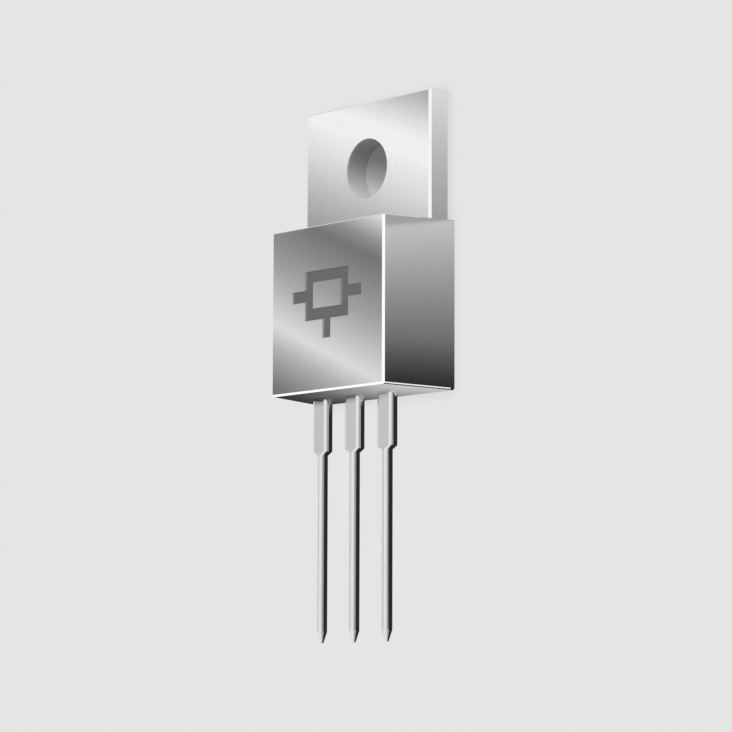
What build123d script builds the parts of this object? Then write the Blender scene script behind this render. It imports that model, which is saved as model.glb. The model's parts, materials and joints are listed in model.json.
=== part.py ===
from build123d import *
import math
import os

# Low-dropout voltage regulator in a three-lead tab package, lying on its mounting face.
#
# A tinned copper tab with a screw hole carries the chip. The same stamping runs on as the centre lead,
# which is bent up to the plane of the two outer leads. The chip is soldered to the header, the buried
# part of the tab, and bond wires join it to the posts of the outer leads and to the header. A moulded
# block encloses all of it and leaves the back of the header bare, to pass heat to what it is bolted to.
#
# Millimetres. The origin is the centre of the screw hole on the mounting face. +Z leaves that face
# towards the front of the part, +Y runs to the free end of the tab, and the leads point to -Y.

# Moulded block: a straight-sided frustum, widest at the mounting face.
body_height = 8.8            # along the leads
body_thickness = 4.1         # mounting face to front face
body_width_back = 10.6       # at the mounting face
body_width_front = 8.8       # at the front face
body_lead_end_draft = 0.1    # how far the lead end leans back by the front face
body_edge_bevel = 0.1        # on the edges round the front and the lead end
body_tab_end_bevel = 0.04    # on the three edges at the tab end

# Circuit symbol of a three-terminal regulator, engraved in the front: a frame with three lines out of it.
symbol_width = 3.4
symbol_height = 2.6
symbol_stroke = 0.62
symbol_line_length = 1.0     # each line outside the frame
symbol_rise = 0.75           # middle of the frame above the middle of the front
symbol_depth = 0.1

# Tab, the bare part of the copper stamping.
tab_width = 9.8
tab_thickness = 1.35
tab_edge_bevel = 0.12
hole_diameter = 3.1          # close clearance for an M3 screw
hole_rim_bevel = 0.05
hole_to_tab_end = 3.6
hole_to_body = 3.25

# Header, the part of the stamping inside the block.
header_width = 8.2
header_lip_width = 0.35      # overhang that the moulding grips under
header_lip_height = 0.45     # height of the bare back under that overhang
header_notch_radius = 0.55
seal_groove_width = 0.4
seal_groove_depth = 0.2
seal_groove_setback = 0.55   # from the block's end to the middle of the groove

# Leads, blanked from the thin gauge of the strip.
lead_pitch = 2.54
lead_plane = 2.12            # middle of the leads above the mounting face
lead_thickness = 0.55
lead_edge_radius = 0.24
lead_width = 0.5
lead_length = 12.8           # block to tip
shoulder_width = 1.2
shoulder_length = 3.0        # block to the end of the taper
shoulder_taper = 0.2
tip_length = 0.6
tip_width = 0.14
tip_edge_radius = 0.04
lead_seal = 0.3              # how deep the rounded lead is gripped by the block

# Buried ends of the leads.
post_width = 2.6
post_length = 1.7
post_corner_radius = 0.3
post_setback = 0.6           # block's lead end to the post
post_hole_diameter = 0.7     # the moulding keys through this
post_to_header = 0.5
center_strip_run = 0.3       # straight run past the header before the bend
center_strip_rise = 60       # slope of the bent stretch, in degrees
center_strip_bend = 0.35     # bend radius at mid thickness

# Chip, its solder and its wires.
die_width = 3.4
die_length = 2.6
die_thickness = 0.3
solder_thickness = 0.06
solder_margin = 0.12
power_wire_diameter = 0.25
ground_wire_diameter = 0.18
wire_foot_widening = 1.6     # width of a pressed bond foot, in wire diameters
wire_foot_length = 2.6       # in wire diameters
wire_foot_height = 0.45      # in wire diameters
wire_loop_height = 0.75      # top of a loop above its higher bond
wire_loop_bends = ((0.13, 0.72), (0.33, 1.0), (0.68, 0.8))   # share of the run, share of the height
wire_pair_spacing = 0.75     # between the two wires of a lead
bond_inset = 0.45            # from a die edge to the middle of a bond foot

# Places that follow from the sizes above.
body_top_y = -hole_to_body
body_bottom_y = body_top_y - body_height
body_middle_y = (body_top_y + body_bottom_y) / 2
post_bottom_y = body_bottom_y + post_setback
post_top_y = post_bottom_y + post_length
header_end_y = post_top_y + post_to_header
header_length = body_top_y - header_end_y
header_middle_y = (body_top_y + header_end_y) / 2
lead_start_y = body_bottom_y + lead_seal
tip_y = body_bottom_y - lead_length
lead_front_z = lead_plane + lead_thickness / 2
die_bottom_z = tab_thickness + solder_thickness
die_top_z = die_bottom_z + die_thickness


def block(width, length, height, x, y, z):
    """Box centred on x and y that stands on z."""
    return Pos(x, y, z) * Box(width, length, height, align=(Align.CENTER, Align.CENTER, Align.MIN))


def lead_section(x, y, width, thickness, radius):
    """Rounded cross-section of a lead, looking along the lead towards its tip."""
    across = Plane(origin=(x, y, lead_plane), x_dir=(1, 0, 0), z_dir=(0, -1, 0))
    return across * RectangleRounded(width, thickness, radius)


def bare_lead(x):
    """Everything of a lead that shows, with the short length gripped by the block."""
    taper_end_y = body_bottom_y - shoulder_length
    taper_start_y = taper_end_y + shoulder_taper
    tip_start_y = tip_y + tip_length
    wide = (shoulder_width, lead_thickness, lead_edge_radius)
    narrow = (lead_width, lead_thickness, lead_edge_radius)
    point = (tip_width, tip_width, tip_edge_radius)
    shoulder = extrude(lead_section(x, lead_start_y, *wide), lead_start_y - taper_start_y)
    taper = loft([lead_section(x, taper_start_y, *wide), lead_section(x, taper_end_y, *narrow)])
    shank = extrude(lead_section(x, taper_end_y, *narrow), taper_end_y - tip_start_y)
    tip = loft([lead_section(x, tip_start_y, *narrow), lead_section(x, tip_y, *point)])
    return shoulder + taper + shank + tip


def outer_lead(side):
    """Outer lead with its bond post. side is -1 for the left lead and 1 for the right."""
    x = side * lead_pitch
    back_z = lead_plane - lead_thickness / 2
    outline = Pos(x, (post_bottom_y + post_top_y) / 2) * RectangleRounded(
        post_width, post_length, post_corner_radius
    )
    neck_length = post_setback - lead_seal + post_corner_radius
    outline += Pos(x, lead_start_y + neck_length / 2) * Rectangle(shoulder_width, neck_length)
    outline -= Pos(x, post_bottom_y + post_length / 4) * Circle(post_hole_diameter / 2)
    return bare_lead(x) + Pos(0, 0, back_z) * extrude(outline, lead_thickness)


def tab_plate():
    """Bare tab with its screw hole and broken edges."""
    length = hole_to_tab_end + hole_to_body
    plate = block(tab_width, length, tab_thickness, 0, (hole_to_tab_end - hole_to_body) / 2, 0)
    faces = plate.faces().sort_by(Axis.Z)
    free_edges = faces[-1].edges().sort_by(Axis.Y)[1:] + faces[0].edges().sort_by(Axis.Y)[1:]
    plate = chamfer(free_edges, tab_edge_bevel)
    plate -= Pos(0, 0, tab_thickness / 2) * Cylinder(hole_diameter / 2, tab_thickness)
    return chamfer(plate.edges().filter_by(GeomType.CIRCLE), hole_rim_bevel)


def header():
    """Buried part of the tab: a lip, two notches and a groove hold the moulding to it."""
    upper = block(
        header_width, header_length, tab_thickness - header_lip_height, 0, header_middle_y, header_lip_height
    )
    back_length = header_length - header_lip_width
    lower = block(
        header_width - 2 * header_lip_width,
        back_length,
        header_lip_height,
        0,
        body_top_y - back_length / 2,
        0,
    )
    shape = upper + lower
    for side in (-1, 1):
        notch = Pos(side * header_width / 2, header_middle_y, tab_thickness / 2)
        shape -= notch * Cylinder(header_notch_radius, tab_thickness)
    groove_y = body_top_y - seal_groove_setback
    profile = Polygon(
        (groove_y - seal_groove_width / 2, tab_thickness),
        (groove_y, tab_thickness - seal_groove_depth),
        (groove_y + seal_groove_width / 2, tab_thickness),
        align=None,
    )
    return shape - extrude(Plane.YZ * profile, header_width / 2, both=True)


def center_strip():
    """Thin strip that climbs from the header's front face to the plane of the leads."""
    root_z = tab_thickness - lead_thickness / 2
    bend_y = header_end_y - center_strip_run
    climb = lead_plane - root_z
    level_y = bend_y - climb / math.tan(math.radians(center_strip_rise))
    route = FilletPolyline(
        (0, header_end_y + header_lip_width, root_z),
        (0, bend_y, root_z),
        (0, level_y, lead_plane),
        (0, lead_start_y, lead_plane),
        radius=center_strip_bend,
    )
    start = Plane(origin=route @ 0, x_dir=(1, 0, 0), z_dir=route % 0)
    return sweep(start * Rectangle(shoulder_width, lead_thickness), path=route)


def ground_tab_and_center_lead():
    """Tab, header and centre lead, one stamping."""
    return tab_plate() + header() + center_strip() + bare_lead(0)


def die():
    return block(die_width, die_length, die_thickness, 0, header_middle_y, die_bottom_z)


def die_solder():
    return block(
        die_width + 2 * solder_margin, die_length + 2 * solder_margin, solder_thickness,
        0, header_middle_y, tab_thickness,
    )


def bond_wire(start, end, diameter):
    """Wire looped between two bonds, each pressed to a flat foot on its pad."""
    start, end = Vector(*start), Vector(*end)
    foot_height = diameter * wire_foot_height
    run = Vector(end.X - start.X, end.Y - start.Y, 0)
    base_z = max(start.Z, end.Z) + foot_height
    rise = wire_loop_height - foot_height - diameter / 2
    bends = [
        Vector(start.X, start.Y, base_z) + run * along + Vector(0, 0, rise * up)
        for along, up in wire_loop_bends
    ]
    heel = Vector(0, 0, foot_height)
    route = Polyline(start + heel, *bends, end + heel)
    section = Plane(origin=route @ 0, z_dir=route % 0) * Circle(diameter / 2)
    wire = sweep(section, path=route, transition=Transition.RIGHT)
    for bond in (start, end):
        pad = Plane(origin=bond, x_dir=run, z_dir=(0, 0, 1))
        foot = SlotOverall(diameter * wire_foot_length, diameter * wire_foot_widening)
        wire += extrude(pad * foot, foot_height)
    return wire


def lead_bond_wires(side):
    """The pair of wires from the die to one outer post."""
    die_y = header_middle_y - die_length / 2 + bond_inset
    post_y = post_top_y - post_length / 4
    die_x = side * (die_width / 2 - bond_inset)
    wires = []
    for step in (0, 1):
        start = (die_x - side * step * wire_pair_spacing, die_y, die_top_z)
        end = (side * (lead_pitch + wire_pair_spacing * (0.5 - step)), post_y, lead_front_z)
        wires.append(bond_wire(start, end, power_wire_diameter))
    return wires


def ground_bond_wire():
    """Short wire from the far edge of the die down to the header."""
    die_edge_y = header_middle_y + die_length / 2
    groove_edge_y = body_top_y - seal_groove_setback - seal_groove_width / 2
    landing_y = (die_edge_y + solder_margin + groove_edge_y) / 2
    start = (0, die_edge_y - bond_inset, die_top_z)
    return bond_wire(start, (0, landing_y, tab_thickness), ground_wire_diameter)


def circuit_symbol():
    """The engraved symbol: a frame, a line out at each side and one below."""
    inner = Rectangle(symbol_width - 2 * symbol_stroke, symbol_height - 2 * symbol_stroke)
    outline = Rectangle(symbol_width, symbol_height) - inner
    for side in (-1, 1):
        line_x = side * (symbol_width + symbol_line_length) / 2
        outline += Pos(line_x, 0) * Rectangle(symbol_line_length, symbol_stroke)
    line_y = -(symbol_height + symbol_line_length) / 2
    outline += Pos(0, line_y) * Rectangle(symbol_stroke, symbol_line_length)
    return Pos(0, body_middle_y + symbol_rise, body_thickness) * extrude(outline, -symbol_depth)


def moulded_body(buried):
    """Block with bevelled edges, moulded tight round the buried pieces."""
    back = Pos(0, body_middle_y, 0) * Rectangle(body_width_back, body_height)
    front = Pos(0, body_middle_y + body_lead_end_draft / 2, body_thickness) * Rectangle(
        body_width_front, body_height - body_lead_end_draft
    )
    solid = loft([back, front])
    back_face, tab_end = solid.faces().sort_by(Axis.Z)[0], solid.faces().sort_by(Axis.Y)[-1]
    broken = solid.edges() - back_face.edges()
    solid = chamfer(broken - tab_end.edges(), body_edge_bevel)
    back_face, tab_end = solid.faces().sort_by(Axis.Z)[0], solid.faces().sort_by(Axis.Y)[-1]
    solid = chamfer(tab_end.edges() - back_face.edges(), body_tab_end_bevel)
    solid -= circuit_symbol()
    for piece in buried:
        solid -= piece
    return solid


def build():
    """Every piece by the name of its node."""
    pieces = {
        "ground_tab_and_center_lead": ground_tab_and_center_lead(),
        "input_lead": outer_lead(-1),
        "output_lead": outer_lead(1),
        "die_attach_solder": die_solder(),
        "regulator_die": die(),
        "ground_bond_wire": ground_bond_wire(),
    }
    for name, side in (("input", -1), ("output", 1)):
        for number, wire in enumerate(lead_bond_wires(side), 1):
            pieces[f"{name}_bond_wire_{number}"] = wire
    pieces["moulded_body"] = moulded_body(list(pieces.values()))
    return pieces


os.makedirs("parts", exist_ok=True)
for node, shape in build().items():
    export_step(shape, f"parts/{node}.step")
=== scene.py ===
import json
import math

import bpy
from mathutils import Matrix, Vector


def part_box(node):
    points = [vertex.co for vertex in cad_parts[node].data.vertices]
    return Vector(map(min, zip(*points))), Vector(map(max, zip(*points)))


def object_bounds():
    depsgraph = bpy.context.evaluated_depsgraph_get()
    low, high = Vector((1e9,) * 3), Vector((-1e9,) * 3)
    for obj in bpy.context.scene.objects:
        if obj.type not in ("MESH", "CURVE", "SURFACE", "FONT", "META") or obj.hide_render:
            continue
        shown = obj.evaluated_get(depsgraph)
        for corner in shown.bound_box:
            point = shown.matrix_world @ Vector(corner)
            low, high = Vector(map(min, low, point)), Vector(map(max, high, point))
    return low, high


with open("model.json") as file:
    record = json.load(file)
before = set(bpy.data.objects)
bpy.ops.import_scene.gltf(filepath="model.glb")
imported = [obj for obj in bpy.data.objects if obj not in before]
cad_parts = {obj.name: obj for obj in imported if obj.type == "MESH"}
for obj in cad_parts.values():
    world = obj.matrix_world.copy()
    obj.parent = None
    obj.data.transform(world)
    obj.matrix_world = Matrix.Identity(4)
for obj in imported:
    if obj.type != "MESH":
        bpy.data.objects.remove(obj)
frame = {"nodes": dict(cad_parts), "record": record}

cad_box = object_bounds()

# ---------------------------------------------------------------- sizes, in metres
MM = 0.001
HAIR = 0.02 * MM

# The camera looks down on the lying part from the right of its front, with the tab at the top.
VIEW_DIRECTION = Vector((0.7434, -0.1190, 0.6582)).normalized()
AIM_OFFSET = Vector((0.557, 0.077, -0.200)) * MM
VIEW_DISTANCE = 158.446 * MM
VIEW_ROLL = math.radians(0.187)
LENS_MM = 150
SENSOR_MM = 36
CLIP_START = 1 * MM
CLIP_END = 3


# The floor reaches past the dome that closes the backdrop.
FLOOR_RADIUS = 0.82
FLOOR_SIDES = 64
DOME_RADIUS = 0.8
DOME_RINGS = 12
FLOOR_LIGHT = 0.783
DIFFUSE_DIMMING = 0.8
SHADE_DISTANCE = 0.7 * MM
SHADE_LEVEL = 0.8
SHADE_SAMPLES = 8

# Lights seen in the shiny faces and bevels: two glowing screens, whose graded glow paints a
# reflected shading on the fronts, and narrow lamps. Each is placed where the camera sees it
# mirrored.
SCREEN_HEIGHT = 9 * MM
SCREEN_GAIN = 1.1
NARROW_MARGIN = 0.03
WIDE_MARGIN = 0.5
GLINT_DISTANCE = 3 * MM
NEAR_GLINT_DISTANCE = 0.4 * MM
GLINT_SPREAD = 0.11
CORNER_SPREAD = 0.5
GLINT_POWER = 1.1
LOW_GLINT_POWER = 3.4

# Lights for the matt surfaces.
OVERHEAD_PLACE = Vector((40, 40, 90)) * MM
OVERHEAD_POWER = 2.1
HOLE_LIGHT_PLACE = Vector((30, 60, 40)) * MM
HOLE_LIGHT_POWER = 2.3
SUN_ANGLE = math.radians(60)
END_LIGHT_PLACE = Vector((13, -22, 4)) * MM
END_LIGHT_TARGET = Vector((5, -12, 2)) * MM
END_LIGHT_POWER = 0.025
END_LIGHT_CONE = math.radians(46)
END_LIGHT_RADIUS = 0.5 * MM

# The world brightens towards this direction: display greys from the opposite one to it.
SOFT_LIGHT_FROM = Vector((-0.75, 0, 0.66)).normalized()
WORLD_STOPS = (
    (0, 60),
    (0.16, 120),
    (0.34, 180),
    (0.5, 215),
    (0.75, 240),
    (0.95, 236),
    (1, 200),
)

# Display greys of the two screens, a painted reflection of graded shading on the fronts, by
# the place along each gradient, which the slope sets in shares of the face's width and height.
BODY_FRONT_SLOPE = (-0.45, 1)
BODY_FRONT_PAINTED_REFLECTION_STOPS = (
    (-0.42, 218),
    (-0.27, 146),
    (-0.16, 115),
    (0.2, 160),
    (0.55, 220),
    (0.7, 174),
    (0.95, 114),
)
TAB_FRONT_SLOPE = (-0.55, 1)
TAB_FRONT_PAINTED_REFLECTION_STOPS = (
    (-0.5, 170),
    (-0.3, 212),
    (-0.12, 241),
    (0.03, 240),
    (0.3, 219),
    (0.6, 184),
    (0.92, 151),
)
# Display greys of the floor as shiny surfaces mirror it, a painted reflection that shades the
# part's right side and the leads, by the distance in mm from the screw hole towards the tips,
# which the slant moves with the distance from the part's side.
FLOOR_PAINTED_REFLECTION_STOPS = (
    (-5, 229),
    (-3.4, 223),
    (0, 189),
    (3.2, 161),
    (3.3, 202),
    (9.4, 117),
    (12.05, 48),
    (27, 48),
    (31, 229),
)
FLOOR_SLANT = 0.134
FLOOR_START = 5.3 * MM
# Where that grading fades in, and out again, in mm along X.
SIDE_FADES = ((-5, -4), (100, 60))

# Display greys of the painted shade on the floor under the screw hole, from its tab end
# towards the leads.
HOLE_PAINTED_SHADE_STOPS = ((0, 104), (0.35, 112), (0.65, 152), (0.85, 185), (1, 200))

TAB_TOP = 1.35 * MM
SHADE_RADIUS = 1.65 * MM
HOLE_SLANT = 0.3
FRONT_HALF_WIDTH = 4.4 * MM
LEAD_END_DRAFT = 0.1 * MM

# Where the moulding is engraved and where the tab is punched, as lowest and highest corners.
ENGRAVING_BOX = (
    Vector((-2.8, -9.3, 3.9)) * MM,
    Vector((2.8, -5.5, 4.08)) * MM,
)
HOLE_BOX = (
    Vector((-1.6, -1.6, 0)) * MM,
    Vector((1.6, 1.6, 1.36)) * MM,
)
DRIFT_SIZE = 2 * MM
END_FACING = -0.99
WALL_FACING = 0.8

# Grain, drift and wear of the finishes.
FINE_DETAIL = 3
DRIFT_DETAIL = 4
NOISE_RANGE = (0.3, 0.7)
PATCH_RANGE = (0.4, 0.6)
BEND_RANGE = (0.8, 1)
WEAR_SAMPLES = 4
WEAR_WIDTH = 0.08 * MM
WEAR_PATCH = 0.5 * MM
WEAR_TONE = 0.2
WEAR_POLISH = 0.4
MATT_ROUGHNESS = 0.7
MATT_SPECULAR = 0.0

DISPLAY_GAMMA = 2.2
WHITE = 255


# ---------------------------------------------------------------- node helpers
def add_node(tree, kind, **values):
    node = tree.nodes.new(kind)
    for key, value in values.items():
        setattr(node, key, value)
    return node


def math_node(tree, operation, first, second=None, third=None, clamp=False):
    node = add_node(tree, "ShaderNodeMath", operation=operation, use_clamp=clamp)
    for socket, value in zip(node.inputs, (first, second, third)):
        if value is None:
            continue
        if isinstance(value, (int, float)):
            socket.default_value = value
        else:
            tree.links.new(value, socket)
    return node.outputs[0]


def colour_ramp(tree, factor, stops):
    """A ramp through these places and colours."""
    ramp = add_node(tree, "ShaderNodeValToRGB")
    elements = ramp.color_ramp.elements
    while len(elements) < len(stops):
        elements.new(1.0)
    for element, (position, colour) in zip(elements, stops):
        element.position = position
        element.color = (*colour, 1)
    tree.links.new(factor, ramp.inputs[0])
    return ramp.outputs["Color"]


def grey_ramp(tree, factor, stops):
    """A ramp of display greys, 0 to 255, turned into light."""
    greys = [(position, (grey / WHITE,) * 3) for position, grey in stops]
    return math_node(tree, "POWER", colour_ramp(tree, factor, greys), DISPLAY_GAMMA)


def profile(tree, along, stops):
    """Light from display greys at places along a coordinate, level beyond both ends."""
    first, last = stops[0][0], stops[-1][0]
    spread = add_node(tree, "ShaderNodeMapRange")
    tree.links.new(along, spread.inputs["Value"])
    spread.inputs["From Min"].default_value = first
    spread.inputs["From Max"].default_value = last
    scaled = [((place - first) / (last - first), grey) for place, grey in stops]
    return grey_ramp(tree, spread.outputs["Result"], scaled)


def mixed(tree, factor, first, second):
    """The first light where the factor is 0, and the second where it is 1."""
    mix = add_node(tree, "ShaderNodeMix", data_type="RGBA")
    tree.links.new(factor, mix.inputs["Factor"])
    tree.links.new(first, mix.inputs["A"])
    tree.links.new(second, mix.inputs["B"])
    return mix.outputs["Result"]


def less_when_diffuse(tree):
    """Full strength, except for light that falls on the matt surfaces."""
    ray = add_node(tree, "ShaderNodeLightPath")
    dimming = math_node(
        tree, "MULTIPLY", ray.outputs["Is Diffuse Ray"], DIFFUSE_DIMMING
    )
    return math_node(tree, "SUBTRACT", 1.0, dimming)


def stage_object(name, vertices, faces, material_of):
    mesh = bpy.data.meshes.new(name)
    mesh.from_pydata(vertices, [], faces)
    mesh.materials.append(material_of(name))
    thing = bpy.data.objects.new(name, mesh)
    bpy.context.scene.collection.objects.link(thing)
    return thing


def new_tree(name):
    material = bpy.data.materials.new(name)
    material.use_nodes = True
    material.cycles.emission_sampling = "NONE"
    material.node_tree.nodes.clear()
    return material, material.node_tree


# ---------------------------------------------------------------- camera
low, high = cad_box
aim = (low + high) / 2 + AIM_OFFSET
eye = aim + VIEW_DIRECTION * VIEW_DISTANCE
right = (-VIEW_DIRECTION).cross(Vector((0, 1, 0))).normalized()
up = right.cross(-VIEW_DIRECTION)
rolled_right = right * math.cos(VIEW_ROLL) + up * math.sin(VIEW_ROLL)
rolled_up = up * math.cos(VIEW_ROLL) - right * math.sin(VIEW_ROLL)
camera_data = bpy.data.cameras.new("camera")
camera_data.lens = LENS_MM
camera_data.sensor_width = SENSOR_MM
camera_data.clip_start = CLIP_START
camera_data.clip_end = CLIP_END
camera = bpy.data.objects.new("camera", camera_data)
bpy.context.scene.collection.objects.link(camera)
camera.matrix_world = Matrix.Translation(eye) @ Matrix(
    (rolled_right, rolled_up, VIEW_DIRECTION)
).transposed().to_4x4()
bpy.context.scene.camera = camera
bpy.context.scene.view_settings.view_transform = "Standard"


# ---------------------------------------------------------------- floor, backdrop and world
def floor_material(name):
    """Pale, with painted soft shade close to the part and painted shade under the screw hole.
    To the right of the part and under the leads, what shiny surfaces mirror is a painted
    reflection, darker towards the tips."""
    material, tree = new_tree(name)
    # Painted shade: the floor's glow is darkened where the part is close above it.
    shade = add_node(tree, "ShaderNodeAmbientOcclusion", samples=SHADE_SAMPLES)
    shade.inputs["Distance"].default_value = SHADE_DISTANCE
    level = add_node(tree, "ShaderNodeMapRange")
    level.inputs["To Min"].default_value = FLOOR_LIGHT * SHADE_LEVEL
    level.inputs["To Max"].default_value = FLOOR_LIGHT
    tree.links.new(shade.outputs["AO"], level.inputs["Value"])
    coordinates = add_node(tree, "ShaderNodeTexCoord")
    parts = add_node(tree, "ShaderNodeSeparateXYZ")
    tree.links.new(coordinates.outputs["Object"], parts.inputs[0])
    x, y = parts.outputs["X"], parts.outputs["Y"]
    from_side = math_node(tree, "SUBTRACT", x, FLOOR_START)
    slanted = math_node(tree, "MULTIPLY", from_side, FLOOR_SLANT)
    towards_tips = math_node(tree, "SUBTRACT", slanted, y)
    along = math_node(tree, "DIVIDE", towards_tips, MM)
    # Painted reflection: only glossy rays see this grading, so it shades the shiny faces and
    # is not seen directly.
    ray = add_node(tree, "ShaderNodeLightPath")
    painted_reflection_zone = ray.outputs["Is Glossy Ray"]
    for start, end in SIDE_FADES:
        fade = add_node(tree, "ShaderNodeMapRange")
        fade.inputs["From Min"].default_value = start * MM
        fade.inputs["From Max"].default_value = end * MM
        tree.links.new(x, fade.inputs["Value"])
        painted_reflection_zone = math_node(tree, "MULTIPLY", painted_reflection_zone, fade.outputs["Result"])
    light = mixed(tree, painted_reflection_zone, level.outputs["Result"], profile(tree, along, FLOOR_PAINTED_REFLECTION_STOPS))
    # Painted shade: under the screw hole the floor glows in a grey gradient, darker at the tab
    # end and to the right.
    across = math_node(tree, "MULTIPLY", x, HOLE_SLANT)
    down = math_node(tree, "ADD", y, across)
    depth = math_node(tree, "SUBTRACT", SHADE_RADIUS, down)
    share = math_node(tree, "DIVIDE", depth, 2 * SHADE_RADIUS)
    middle = add_node(tree, "ShaderNodeVectorMath", operation="LENGTH")
    tree.links.new(coordinates.outputs["Object"], middle.inputs[0])
    under_hole_painted_shade = math_node(tree, "LESS_THAN", middle.outputs["Value"], SHADE_RADIUS)
    light = mixed(tree, under_hole_painted_shade, light, profile(tree, share, HOLE_PAINTED_SHADE_STOPS))
    glow = add_node(tree, "ShaderNodeEmission")
    tree.links.new(light, glow.inputs["Color"])
    tree.links.new(less_when_diffuse(tree), glow.inputs["Strength"])
    out = add_node(tree, "ShaderNodeOutputMaterial")
    tree.links.new(glow.outputs[0], out.inputs["Surface"])
    return material


def backdrop_material(name):
    material, tree = new_tree(name)
    glow = add_node(tree, "ShaderNodeEmission")
    glow.inputs["Color"].default_value = (FLOOR_LIGHT, FLOOR_LIGHT, FLOOR_LIGHT, 1)
    out = add_node(tree, "ShaderNodeOutputMaterial")
    tree.links.new(glow.outputs[0], out.inputs["Surface"])
    return material


circle = [
    (math.cos(math.tau * i / FLOOR_SIDES), math.sin(math.tau * i / FLOOR_SIDES))
    for i in range(FLOOR_SIDES)
]
floor = stage_object(
    "floor",
    [(x * FLOOR_RADIUS, y * FLOOR_RADIUS, 0) for x, y in circle],
    [list(range(FLOOR_SIDES))],
    floor_material,
)

dome_vertices = [
    (
        x * DOME_RADIUS * math.cos(math.pi / 2 * ring / DOME_RINGS),
        y * DOME_RADIUS * math.cos(math.pi / 2 * ring / DOME_RINGS),
        DOME_RADIUS * math.sin(math.pi / 2 * ring / DOME_RINGS) - HAIR,
    )
    for ring in range(DOME_RINGS)
    for x, y in circle
]
dome_faces = [
    [
        ring * FLOOR_SIDES + i,
        ring * FLOOR_SIDES + (i + 1) % FLOOR_SIDES,
        (ring + 1) * FLOOR_SIDES + (i + 1) % FLOOR_SIDES,
        (ring + 1) * FLOOR_SIDES + i,
    ]
    for ring in range(DOME_RINGS - 1)
    for i in range(FLOOR_SIDES)
]
dome_faces.append([(DOME_RINGS - 1) * FLOOR_SIDES + i for i in range(FLOOR_SIDES)])
backdrop = stage_object("backdrop", dome_vertices, dome_faces, backdrop_material)
backdrop.visible_glossy = False
backdrop.visible_diffuse = False
backdrop.visible_shadow = False
backdrop.visible_transmission = False

world = bpy.data.worlds.new("studio")
world.use_nodes = True
world.node_tree.nodes.clear()
bpy.context.scene.world = world
tree = world.node_tree
direction = add_node(tree, "ShaderNodeTexCoord")
nearness = add_node(tree, "ShaderNodeVectorMath", operation="DOT_PRODUCT")
tree.links.new(direction.outputs["Generated"], nearness.inputs[0])
nearness.inputs[1].default_value = SOFT_LIGHT_FROM
share = math_node(tree, "MULTIPLY_ADD", nearness.outputs["Value"], 0.5, 0.5)
sky = add_node(tree, "ShaderNodeBackground")
tree.links.new(grey_ramp(tree, share, WORLD_STOPS), sky.inputs["Color"])
tree.links.new(less_when_diffuse(tree), sky.inputs["Strength"])
out = add_node(tree, "ShaderNodeOutputWorld")
tree.links.new(sky.outputs[0], out.inputs["Surface"])


def lamp_object(name, data, lit):
    """A lamp that lights one node alone, and casts no shadow."""
    data.use_shadow = False
    lamp = bpy.data.objects.new(name, data)
    lamp.light_linking.receiver_collection = bpy.data.collections.new(name)
    lamp.light_linking.receiver_collection.objects.link(frame["nodes"][lit])
    bpy.context.scene.collection.objects.link(lamp)
    return lamp


def matt_light(name, kind, place, target, power, lit):
    """A light for the matt surfaces of one node."""
    data = bpy.data.lights.new(name, kind)
    data.energy = power
    lamp = lamp_object(name, data, lit)
    lamp.visible_glossy = False
    lamp.location = place
    lamp.rotation_euler = (target - place).to_track_quat("-Z", "Y").to_euler()
    return data


overhead = matt_light(
    "overhead_light", "SUN", OVERHEAD_PLACE, Vector(), OVERHEAD_POWER, "moulded_body"
)
overhead.angle = SUN_ANGLE
hole_light = matt_light(
    "hole_light",
    "SUN",
    HOLE_LIGHT_PLACE,
    Vector(),
    HOLE_LIGHT_POWER,
    "ground_tab_and_center_lead",
)
hole_light.angle = SUN_ANGLE
end_light = matt_light(
    "end_light", "SPOT", END_LIGHT_PLACE, END_LIGHT_TARGET, END_LIGHT_POWER, "moulded_body"
)
end_light.spot_size = END_LIGHT_CONE
end_light.spot_blend = 1
end_light.shadow_soft_size = END_LIGHT_RADIUS


# ---------------------------------------------------------------- screens and glints
def only_reflected(thing):
    thing.visible_camera = False
    thing.visible_diffuse = False
    thing.visible_shadow = False
    thing.visible_transmission = False
    thing.visible_volume_scatter = False


def face_normal(corners):
    return (corners[3] - corners[0]).cross(corners[1] - corners[0]).normalized()


def between(corners, u, v):
    top_left, top_right, bottom_right, bottom_left = corners
    return top_left.lerp(top_right, u).lerp(bottom_left.lerp(bottom_right, u), v)


def screen_material(name, stops, slope, margins):
    """Glows in display greys along t = slope . (u, v), and fades out over its margins: left,
    right, top and bottom."""
    material, tree = new_tree(name)
    place = add_node(tree, "ShaderNodeUVMap")
    parts = add_node(tree, "ShaderNodeSeparateXYZ")
    tree.links.new(place.outputs["UV"], parts.inputs[0])
    u, v = parts.outputs["X"], parts.outputs["Y"]
    along = math_node(
        tree,
        "ADD",
        math_node(tree, "MULTIPLY", u, slope[0]),
        math_node(tree, "MULTIPLY", v, slope[1]),
    )
    glow = add_node(tree, "ShaderNodeEmission")
    glow.inputs["Strength"].default_value = SCREEN_GAIN
    tree.links.new(profile(tree, along, stops), glow.inputs["Color"])
    left, right, top, bottom = margins
    fade = 1.0
    for room, margin in (
        (u, left),
        (math_node(tree, "SUBTRACT", 1.0, u), right),
        (v, top),
        (math_node(tree, "SUBTRACT", 1.0, v), bottom),
    ):
        beyond = math_node(tree, "ADD", room, margin)
        level = math_node(tree, "DIVIDE", beyond, margin, clamp=True)
        fade = math_node(tree, "MULTIPLY", level, fade)
    clear = add_node(tree, "ShaderNodeBsdfTransparent")
    mix = add_node(tree, "ShaderNodeMixShader")
    tree.links.new(fade, mix.inputs[0])
    tree.links.new(clear.outputs[0], mix.inputs[1])
    tree.links.new(glow.outputs[0], mix.inputs[2])
    out = add_node(tree, "ShaderNodeOutputMaterial")
    tree.links.new(mix.outputs[0], out.inputs["Surface"])
    return material


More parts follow.
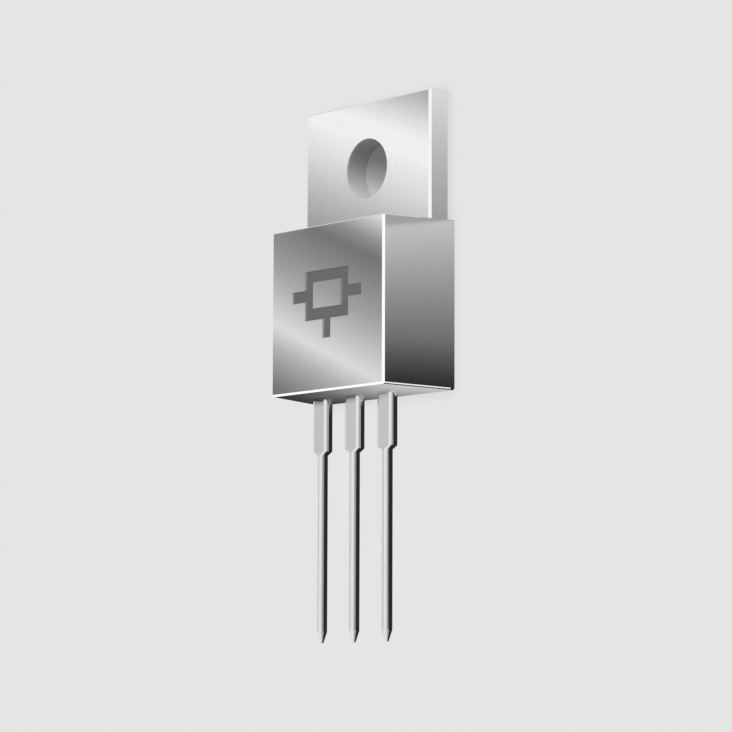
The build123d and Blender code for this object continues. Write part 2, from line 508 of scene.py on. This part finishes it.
def screen(name, corners, stops, slope, margins):
    """A level screen that the camera sees in the face with these corners, given from the top
    left round to the bottom left. Its graded glow paints a reflected shading on that face."""
    normal = face_normal(corners)
    image = eye - normal * 2 * (eye - corners[0]).dot(normal)
    seen = []
    for corner in corners:
        ray = corner - image
        seen.append(image + ray * ((SCREEN_HEIGHT - image.z) / ray.z))
    left, right, top, bottom = margins
    places = [(u, v) for v in (-top, 1 + bottom) for u in (-left, 1 + right)]
    thing = stage_object(
        name,
        [between(seen, u, v) for u, v in places],
        [[0, 1, 3, 2]],
        lambda label: screen_material(label, stops, slope, margins),
    )
    layer = thing.data.uv_layers.new(name="UVMap")
    for loop in thing.data.loops:
        layer.data[loop.index].uv = places[loop.vertex_index]
    only_reflected(thing)


def glint(
    name,
    start,
    end,
    normal,
    lit,
    distance=GLINT_DISTANCE,
    spread=GLINT_SPREAD,
    power=GLINT_POWER,
):
    """A narrow lamp that the camera sees in the bevel from start to end."""
    normal = normal.normalized()
    image = eye - normal * 2 * (eye - start).dot(normal)
    ends = [p + (p - image).normalized() * distance for p in (start, end)]
    along = ends[1] - ends[0]
    middle = (ends[0] + ends[1]) / 2
    away = middle - (start + end) / 2
    across = away.cross(along).normalized()
    data = bpy.data.lights.new(name, "AREA")
    data.shape = "RECTANGLE"
    data.size = along.length
    data.size_y = 2 * distance * spread
    data.energy = power * data.size * data.size_y
    lamp = lamp_object(name, data, lit)
    lamp.visible_camera = False
    lamp.visible_diffuse = False
    back = along.normalized().cross(across)
    lamp.matrix_world = Matrix.Translation(middle) @ Matrix(
        (along.normalized(), across, back)
    ).transposed().to_4x4()


body_low, body_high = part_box("moulded_body")
tab_low, tab_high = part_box("ground_tab_and_center_lead")
tab_half = tab_high.x

front_end = body_low.y + LEAD_END_DRAFT
body_front = (
    Vector((-FRONT_HALF_WIDTH, body_high.y, body_high.z)),
    Vector((FRONT_HALF_WIDTH, body_high.y, body_high.z)),
    Vector((FRONT_HALF_WIDTH, front_end, body_high.z)),
    Vector((-FRONT_HALF_WIDTH, front_end, body_high.z)),
)
tab_front = (
    Vector((-tab_half, tab_high.y, TAB_TOP)),
    Vector((tab_half, tab_high.y, TAB_TOP)),
    Vector((tab_half, body_high.y, TAB_TOP)),
    Vector((-tab_half, body_high.y, TAB_TOP)),
)
body_right = (
    body_front[1],
    Vector((body_high.x, body_high.y, 0)),
    Vector((body_high.x, body_low.y, 0)),
    body_front[2],
)
tab_right = (
    Vector((tab_half, tab_high.y, TAB_TOP)),
    Vector((tab_half, tab_high.y, 0)),
    Vector((tab_half, body_high.y, 0)),
    Vector((tab_half, body_high.y, TAB_TOP)),
)
lead_end = (
    body_front[3],
    body_front[2],
    Vector((body_high.x, body_low.y, 0)),
    Vector((body_low.x, body_low.y, 0)),
)
screen(
    "body_front_screen",
    body_front,
    BODY_FRONT_PAINTED_REFLECTION_STOPS,
    BODY_FRONT_SLOPE,
    (WIDE_MARGIN, WIDE_MARGIN, NARROW_MARGIN, NARROW_MARGIN),
)
screen(
    "tab_front_screen",
    tab_front,
    TAB_FRONT_PAINTED_REFLECTION_STOPS,
    TAB_FRONT_SLOPE,
    (WIDE_MARGIN, WIDE_MARGIN, WIDE_MARGIN, NARROW_MARGIN),
)

# Narrow lamps for the bevels that catch the light.
edge_normals = {
    "body_edge": face_normal(body_front) + face_normal(body_right),
    "front_lower": face_normal(body_front) + face_normal(lead_end),
    "side_lower": face_normal(body_right) + face_normal(lead_end),
    "tab_edge": face_normal(tab_front) + face_normal(tab_right),
}
for name, start, end, distance, power in (
    ("body_edge", body_front[2], body_front[1], GLINT_DISTANCE, GLINT_POWER),
    ("front_lower", body_front[3], body_front[2], GLINT_DISTANCE, GLINT_POWER),
    ("side_lower", body_right[3], body_right[2], NEAR_GLINT_DISTANCE, LOW_GLINT_POWER),
):
    normal = edge_normals[name]
    glint(name + "_glint", start, end, normal, "moulded_body", distance, power=power)
glint(
    "tab_edge_glint",
    tab_front[2],
    tab_front[1],
    edge_normals["tab_edge"],
    "ground_tab_and_center_lead",
)
corner_reach = Vector((GLINT_DISTANCE * CORNER_SPREAD, 0, 0))
glint(
    "corner_glint",
    body_front[2] - corner_reach,
    body_front[2] + corner_reach,
    face_normal(body_front) + face_normal(body_right) + face_normal(lead_end),
    "moulded_body",
    spread=CORNER_SPREAD,
)


# ---------------------------------------------------------------- materials
def noise(tree, place, size, detail, stretch=1):
    """A noise of this grain size, drawn out along Y."""
    stretched = add_node(tree, "ShaderNodeMapping")
    stretched.inputs["Scale"].default_value = (1, 1 / stretch, 1)
    tree.links.new(place, stretched.inputs["Vector"])
    grain = add_node(tree, "ShaderNodeTexNoise")
    grain.inputs["Scale"].default_value = 1 / size
    grain.inputs["Detail"].default_value = detail
    tree.links.new(stretched.outputs[0], grain.inputs["Vector"])
    return grain.outputs[0]


def ranged(tree, value, to, source=NOISE_RANGE):
    spread = add_node(tree, "ShaderNodeMapRange")
    spread.inputs["From Min"].default_value = source[0]
    spread.inputs["From Max"].default_value = source[1]
    spread.inputs["To Min"].default_value = to[0]
    spread.inputs["To Max"].default_value = to[1]
    tree.links.new(value, spread.inputs["Value"])
    return spread.outputs[0]


def blended(tree, mask, value, other):
    """value where the mask is 0, and the plain number other where it is 1."""
    mix = add_node(tree, "ShaderNodeMix")
    tree.links.new(mask, mix.inputs["Factor"])
    tree.links.new(value, mix.inputs["A"])
    mix.inputs["B"].default_value = other
    return mix.outputs["Result"]


def inside(tree, coordinate, start, end):
    """1 where the coordinate is between the two limits, and 0 elsewhere."""
    middle, reach = (start + end) / 2, (end - start) / 2
    return math_node(tree, "COMPARE", coordinate, middle, reach)


def in_box(tree, coordinates, box):
    place = add_node(tree, "ShaderNodeSeparateXYZ")
    tree.links.new(coordinates.outputs["Object"], place.inputs[0])
    mask = 1.0
    for axis, low, high in zip("XYZ", *box):
        here = inside(tree, place.outputs[axis], low, high)
        mask = math_node(tree, "MULTIPLY", here, mask)
    return mask


def facing(tree, coordinates, axis):
    parts = add_node(tree, "ShaderNodeSeparateXYZ")
    tree.links.new(coordinates.outputs["Normal"], parts.inputs[0])
    return parts.outputs[axis]


def painted_or_end(tree, coordinates):
    """1 in the engraving and on the faces that look towards the leads, and 0 elsewhere."""
    painted = in_box(tree, coordinates, ENGRAVING_BOX)
    end = math_node(tree, "LESS_THAN", facing(tree, coordinates, "Y"), END_FACING)
    return math_node(tree, "MAXIMUM", painted, end)


def punched(tree, coordinates):
    """1 on the upright wall of the screw hole, and 0 elsewhere."""
    wall = inside(tree, facing(tree, coordinates, "Z"), -WALL_FACING, WALL_FACING)
    return math_node(tree, "MULTIPLY", in_box(tree, coordinates, HOLE_BOX), wall)


def metal(name, colours, roughness, grain, relief, stretch=1, matt=None, matt_tone=0):
    """A metallic finish: fine grain drawn out along Y, slowly drifting tone and polish, and
    edges that wear has made a little brighter and smoother. Where matt is 1 it is a matt grey.
    """
    material, tree = new_tree(name)
    coordinates = add_node(tree, "ShaderNodeTexCoord")
    place = coordinates.outputs["Object"]
    fine = noise(tree, place, grain, FINE_DETAIL, stretch)
    drift = noise(tree, place, DRIFT_SIZE, DRIFT_DETAIL)
    wear = worn(tree, place)
    bright = ranged(tree, fine, (0, 1 - WEAR_TONE))
    bright = math_node(
        tree, "ADD", bright, math_node(tree, "MULTIPLY", wear, WEAR_TONE)
    )
    tone = colour_ramp(tree, bright, ((0, colours[0]), (1, colours[1])))
    polish = ranged(tree, drift, roughness)
    smoothing = math_node(tree, "MULTIPLY", wear, roughness[0] * WEAR_POLISH)
    polish = math_node(tree, "SUBTRACT", polish, smoothing)
    shader = add_node(tree, "ShaderNodeBsdfPrincipled")
    shader.inputs["Metallic"].default_value = 1
    shader.inputs["Specular IOR Level"].default_value = MATT_SPECULAR
    if matt is not None:
        mask = matt(tree, coordinates)
        paint = add_node(tree, "ShaderNodeRGB")
        paint.outputs["Color"].default_value = (matt_tone, matt_tone, matt_tone, 1)
        tone = mixed(tree, mask, tone, paint.outputs["Color"])
        polish = blended(tree, mask, polish, MATT_ROUGHNESS)
        bare = math_node(tree, "SUBTRACT", 1.0, mask)
        tree.links.new(bare, shader.inputs["Metallic"])
    bump = add_node(tree, "ShaderNodeBump")
    bump.inputs["Distance"].default_value = relief
    tree.links.new(fine, bump.inputs["Height"])
    tree.links.new(tone, shader.inputs["Base Color"])
    tree.links.new(polish, shader.inputs["Roughness"])
    tree.links.new(bump.outputs[0], shader.inputs["Normal"])
    out = add_node(tree, "ShaderNodeOutputMaterial")
    tree.links.new(shader.outputs[0], out.inputs["Surface"])
    return material


def worn(tree, place):
    """Towards 1 in patches along the edges, and 0 on the flats."""
    rounded = add_node(tree, "ShaderNodeBevel", samples=WEAR_SAMPLES)
    rounded.inputs["Radius"].default_value = WEAR_WIDTH
    flat = add_node(tree, "ShaderNodeNewGeometry")
    turned = add_node(tree, "ShaderNodeVectorMath", operation="DOT_PRODUCT")
    tree.links.new(rounded.outputs[0], turned.inputs[0])
    tree.links.new(flat.outputs["Normal"], turned.inputs[1])
    edge = ranged(tree, turned.outputs["Value"], (1, 0), BEND_RANGE)
    blotches = noise(tree, place, WEAR_PATCH, FINE_DETAIL)
    patches = ranged(tree, blotches, (0, 1), PATCH_RANGE)
    return math_node(tree, "MULTIPLY", edge, patches)


satin_moulding = metal(
    "satin_moulding",
    colours=((0.86, 0.86, 0.86), (0.95, 0.95, 0.95)),
    roughness=(0.07, 0.11),
    grain=0.06 * MM,
    relief=0.0002 * MM,
    matt=painted_or_end,
    matt_tone=0.2,
)
tinned_strip = metal(
    "tinned_strip",
    colours=((0.86, 0.86, 0.86), (0.95, 0.95, 0.95)),
    roughness=(0.05, 0.1),
    grain=0.04 * MM,
    stretch=12,
    relief=0.0002 * MM,
    matt=punched,
    matt_tone=0.64,
)
polished_silicon = metal(
    "polished_silicon",
    colours=((0.14, 0.16, 0.21), (0.25, 0.27, 0.33)),
    roughness=(0.12, 0.2),
    grain=0.05 * MM,
    relief=0.0001 * MM,
)
soft_solder = metal(
    "soft_solder",
    colours=((0.5, 0.5, 0.49), (0.72, 0.72, 0.7)),
    roughness=(0.3, 0.45),
    grain=0.07 * MM,
    relief=0.002 * MM,
)
drawn_aluminium = metal(
    "drawn_aluminium",
    colours=((0.8, 0.81, 0.82), (0.91, 0.92, 0.93)),
    roughness=(0.15, 0.25),
    grain=0.02 * MM,
    stretch=8,
    relief=0.0003 * MM,
)
finishes = {
    "moulding": satin_moulding,
    "tinned_copper": tinned_strip,
    "silicon": polished_silicon,
    "solder": soft_solder,
    "bond_wire": drawn_aluminium,
}
for subpart in frame["record"]["subparts"]:
    finish = finishes[subpart["material_slot"]]
    frame["nodes"][subpart["node"]].data.materials[0] = finish
